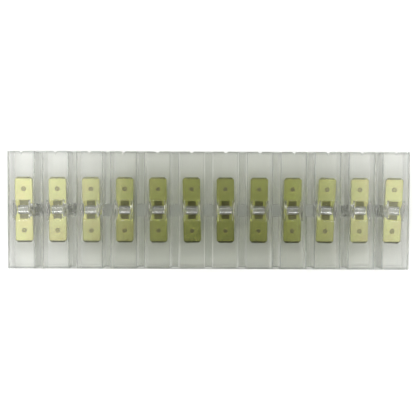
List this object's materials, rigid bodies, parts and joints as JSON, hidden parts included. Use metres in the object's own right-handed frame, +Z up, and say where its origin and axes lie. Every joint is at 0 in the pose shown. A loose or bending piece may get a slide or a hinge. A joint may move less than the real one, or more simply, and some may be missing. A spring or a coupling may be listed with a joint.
{
  "type": "terminal strip",
  "caption": "Clear moulded strip of side-by-side chambers, each holding a double-ended flat brass blade for joining wires by push-on receptacles.",
  "frame": {"origin": "centre of the flat underside", "axes": "+X along the row of poles, +Y along the blades towards the notched mouths, +Z up from the base"},
  "size_m": [0.1414, 0.0414, 0.0086],
  "materials": {
    "clear_plastic": "clear moulded plastic, glossy",
    "brass": "rolled and stamped brass"
  },
  "bodies": {
    "root": {"housing": "clear_plastic", "contact_01": "brass", "contact_02": "brass", "contact_03": "brass", "contact_04": "brass", "contact_05": "brass", "contact_06": "brass", "contact_07": "brass", "contact_08": "brass", "contact_09": "brass", "contact_10": "brass", "contact_11": "brass", "contact_12": "brass"}
  },
  "joints": []
}
